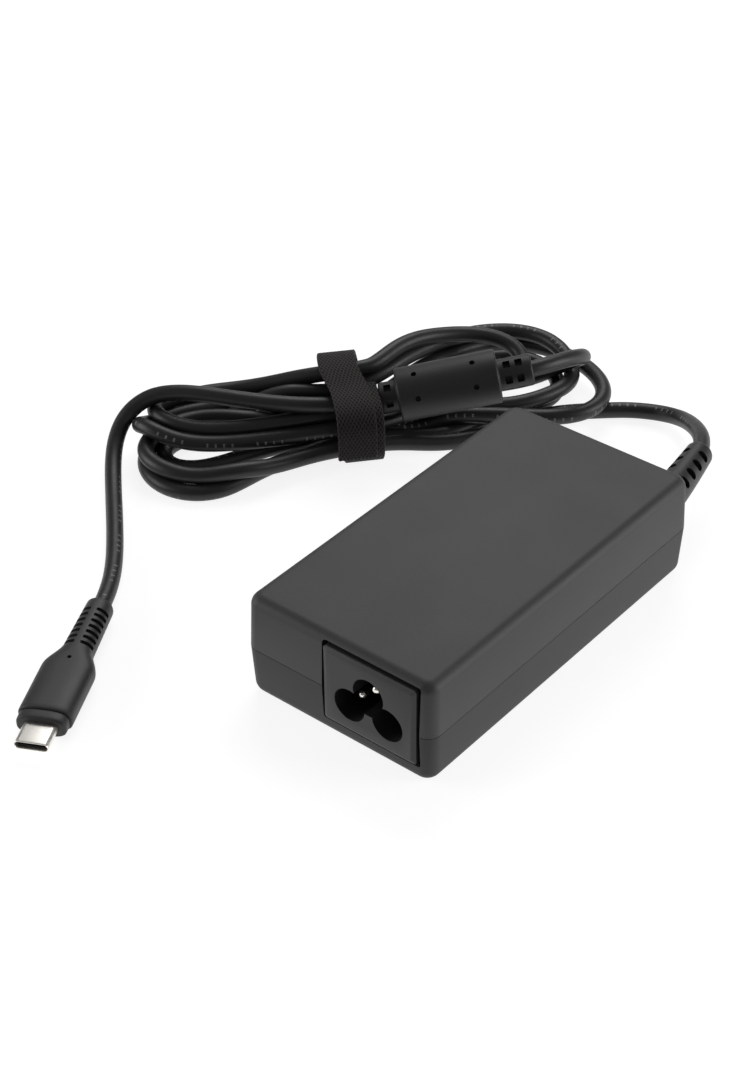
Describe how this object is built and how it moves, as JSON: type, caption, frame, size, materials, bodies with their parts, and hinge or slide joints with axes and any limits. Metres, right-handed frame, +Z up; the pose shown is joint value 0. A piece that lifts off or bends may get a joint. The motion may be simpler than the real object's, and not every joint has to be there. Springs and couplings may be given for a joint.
{
  "type": "laptop power adapter",
  "caption": "Rectangular laptop power adapter with a clover mains inlet, a strapped output cord with ferrite choke, and a USB-C plug.",
  "frame": {"origin": "bottom centre of the case", "axes": "+Z up, +Y along the case from the mains inlet to the cord, +X across the case"},
  "size_m": [0.1478, 0.2127, 0.0282],
  "materials": {
    "case_plastic": "fine matt moulded texture",
    "inlet_plastic": "smooth matt moulding",
    "contact_metal": "nickel-plated, bright",
    "circuit_laminate": "green solder resist",
    "fuse_body": "moulded",
    "capacitor_film": "moulded box",
    "ceramic_disc": "dipped",
    "ferrite": "sintered",
    "copper_winding": "enamelled copper wire",
    "winding_tape": "polyester tape",
    "moulding_black": "moulded",
    "capacitor_can": "sleeved can",
    "aluminium_plate": "mill finish",
    "insulating_film": "film",
    "wire_insulation_red": "extruded",
    "wire_insulation_black": "extruded",
    "cord_pvc": "satin extruded jacket",
    "strap_weave": "woven hook-and-loop tape",
    "moulded_cover": "matt moulded cover",
    "shell_metal": "bright nickel plating"
  },
  "bodies": {
    "root": {"bottom_cover": "case_plastic", "bridge_rectifier": "moulding_black", "bulk_capacitor": "capacitor_can", "circuit_board": "circuit_laminate", "controller_chip": "moulding_black", "cord_case_to_hank": "cord_pvc", "cord_hank": "cord_pvc", "cord_hank_to_plug": "cord_pvc", "ferrite_core": "ferrite", "ferrite_cover": "moulded_cover", "filter_choke_core": "ferrite", "filter_choke_winding_line": "copper_winding", "filter_choke_winding_neutral": "copper_winding", "heat_spreader": "aluminium_plate", "hook_and_loop_strap": "strap_weave", "inlet_housing": "inlet_plastic", "inlet_pin_earth": "contact_metal", "inlet_pin_line": "contact_metal", "inlet_pin_neutral": "contact_metal", "insulating_sheet": "insulating_film", "mains_fuse": "fuse_body", "optocoupler": "moulding_black", "output_capacitor_1": "capacitor_can", "output_capacitor_2": "capacitor_can", "output_gland": "cord_pvc", "output_rectifier": "moulding_black", "output_wire_negative": "wire_insulation_black", "output_wire_positive": "wire_insulation_red", "plug_collar": "moulded_cover", "plug_overmould": "moulded_cover", "plug_paddle_board": "circuit_laminate", "primary_heat_sink": "aluminium_plate", "secondary_heat_sink": "aluminium_plate", "switching_transistor": "moulding_black", "top_cover": "case_plastic", "transformer_bobbin": "moulding_black", "transformer_core_front": "ferrite", "transformer_core_rear": "ferrite", "transformer_winding": "winding_tape", "usb_c_insulator": "moulding_black", "usb_c_shell": "shell_metal", "x_capacitor": "capacitor_film", "y_capacitor": "ceramic_disc"}
  },
  "joints": []
}
